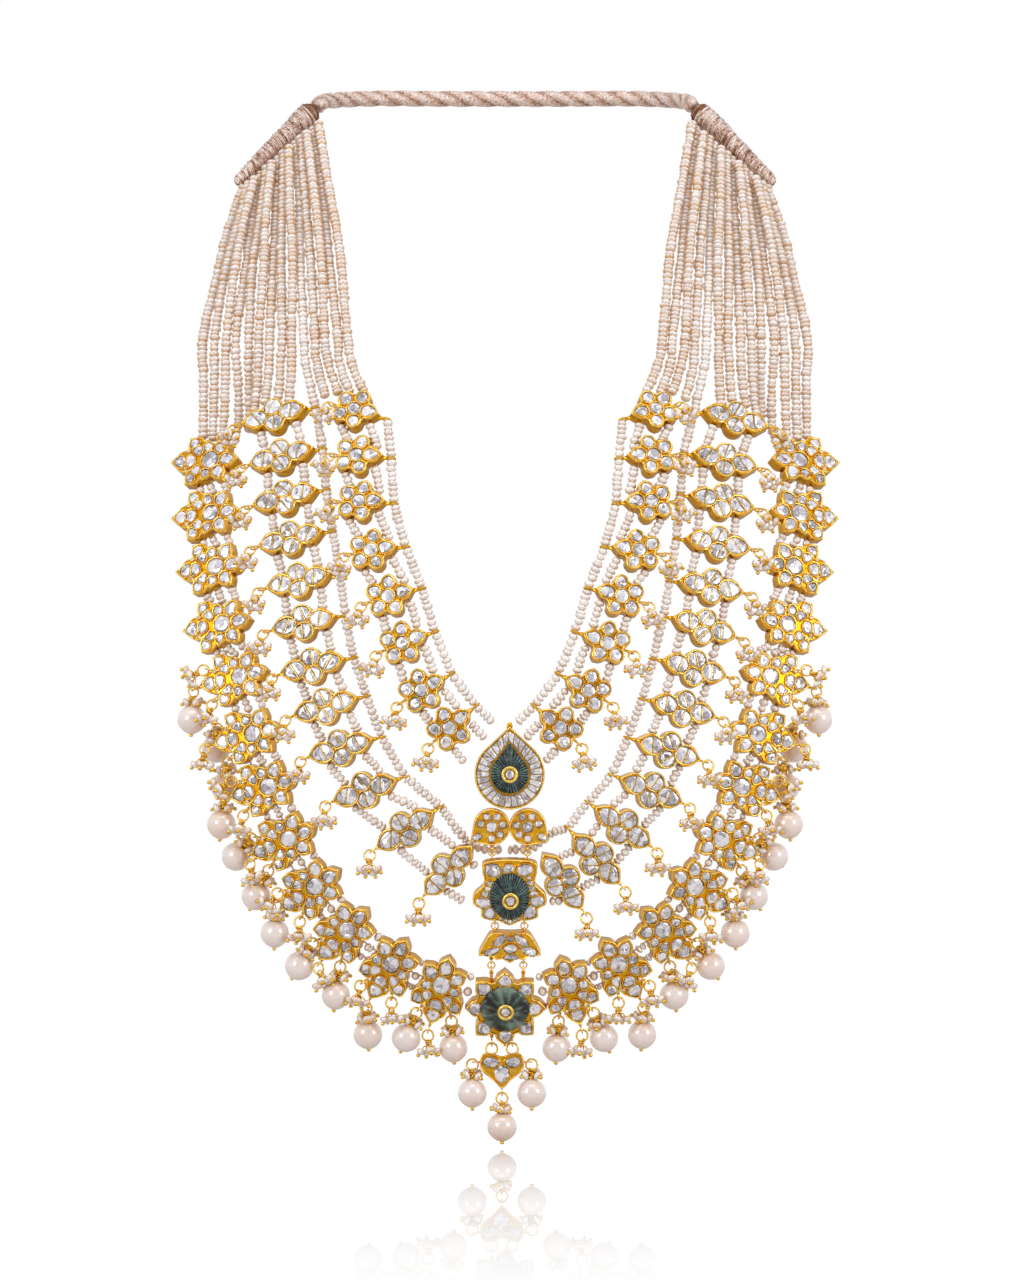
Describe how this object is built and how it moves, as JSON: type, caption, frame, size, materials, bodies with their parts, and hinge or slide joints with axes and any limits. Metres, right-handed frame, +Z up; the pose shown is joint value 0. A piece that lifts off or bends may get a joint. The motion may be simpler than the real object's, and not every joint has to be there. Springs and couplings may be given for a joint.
{
  "type": "polki necklace",
  "caption": "Broad bib necklace of gold star and petal plates set with uncut polki stones, strung on seed pearls, with a carved emerald pendant and pearl drops.",
  "frame": {"origin": "middle of the cord's inner side, where it lies on the nape", "axes": "+X to the viewer's right, +Y from the necklace's front towards the wearer's back, +Z up"},
  "size_m": [0.202, 0.1597, 0.3189],
  "materials": {
    "gold": "satin",
    "seed_pearl": "lustrous",
    "pearl": "lustrous",
    "polki": "foiled",
    "emerald": "carved",
    "thread": "metallic thread"
  },
  "bodies": {
    "necklace": {"neck_cord": "thread", "end_wrap_left": "thread", "end_wrap_right": "thread", "strands_left": "seed_pearl", "strands_right": "seed_pearl", "outer_stars_left": "gold", "outer_stars_right": "gold", "outer_strings_left": "seed_pearl", "outer_strings_right": "seed_pearl", "middle_plates_left": "gold", "middle_plates_right": "gold", "middle_strings_left": "seed_pearl", "middle_strings_right": "seed_pearl", "inner_stars_left": "gold", "inner_stars_right": "gold", "inner_strings_left": "seed_pearl", "inner_strings_right": "seed_pearl", "outer_stones_left": "polki", "outer_stones_right": "polki", "pearl_drops_left": "pearl", "pearl_drops_right": "pearl", "outer_clusters_left": "seed_pearl", "outer_clusters_right": "seed_pearl", "middle_clusters_left": "seed_pearl", "middle_clusters_right": "seed_pearl", "inner_clusters_left": "seed_pearl", "inner_clusters_right": "seed_pearl", "teardrop_plate": "gold", "teardrop_emerald": "emerald", "paisley_pair": "gold", "square_plate": "gold", "oval_emerald": "emerald", "half_flower": "gold", "centre_star": "gold", "round_emerald": "emerald", "stone_cups": "gold", "column_links": "gold"},
    "drop": {"drop_plate": "gold", "drop_pearls": "pearl"}
  },
  "joints": [
    {"name": "drop_swing", "type": "hinge", "parent": "necklace", "child": "drop", "pos_m": [-0.0009, -0.12998, -0.2859], "axis": [1, 0, 0], "range_deg": [-40, 25]}
  ]
}
